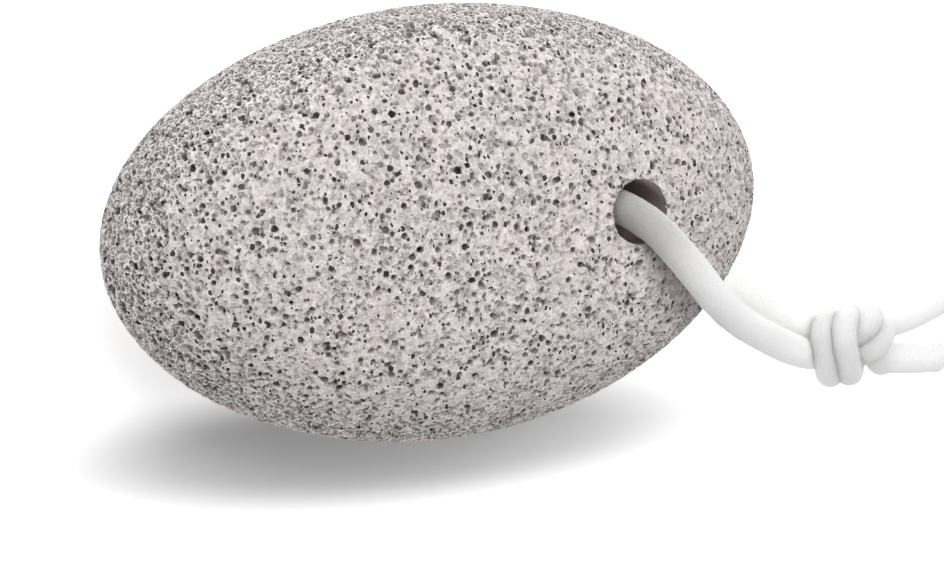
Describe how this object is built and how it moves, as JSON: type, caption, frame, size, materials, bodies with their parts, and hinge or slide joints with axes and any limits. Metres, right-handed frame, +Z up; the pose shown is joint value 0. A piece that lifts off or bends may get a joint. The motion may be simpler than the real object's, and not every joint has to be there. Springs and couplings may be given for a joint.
{
  "type": "pumice stone on a cord",
  "caption": "Oval pumice bath stone with open gas pits all over, drilled near one end, with a soft white cord tied through the hole in an overhand knot with short tails.",
  "frame": {"origin": "bottom centre of the stone's bounding box, on the surface that it lies on", "axes": "+X along the stone's length towards the drilled end, +Z up out of its broad face"},
  "size_m": [0.145, 0.0682, 0.0439],
  "materials": {
    "pumice": "matt, open and porous, light warm grey",
    "cord": "soft white knitted cotton cord, slightly fuzzy"
  },
  "bodies": {
    "root": {"pumice_stone": "pumice", "cord_front": "cord", "cord_back": "cord", "cord_knot": "cord", "cord_tail_front": "cord", "cord_tail_back": "cord"}
  },
  "joints": []
}
